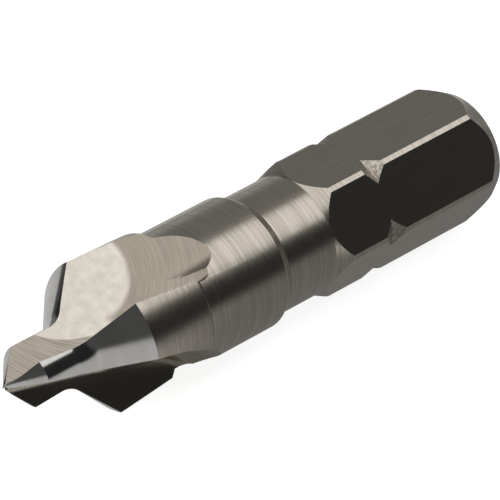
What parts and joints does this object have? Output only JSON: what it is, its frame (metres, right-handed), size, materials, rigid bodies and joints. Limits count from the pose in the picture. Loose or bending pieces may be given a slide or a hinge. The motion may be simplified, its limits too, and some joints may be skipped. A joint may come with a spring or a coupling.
{
  "type": "countersink bit",
  "caption": "Straight cutting bit with a pointed pilot, a fluted 90 degree cone and a hexagonal shank with a retaining notch.",
  "frame": {"origin": "centre of the flat end face of the hexagonal shank", "axes": "+X along the axis from the shank to the cutting tip; +Z leaves through the middle of one hexagon flat and of one flute; +Y completes a right-handed frame"},
  "size_m": [0.0312, 0.0078, 0.0075],
  "materials": {
    "ground_steel": "ground and turned tool steel, bright in the flutes"
  },
  "bodies": {
    "root": {"countersink_bit": "ground_steel"}
  },
  "joints": []
}
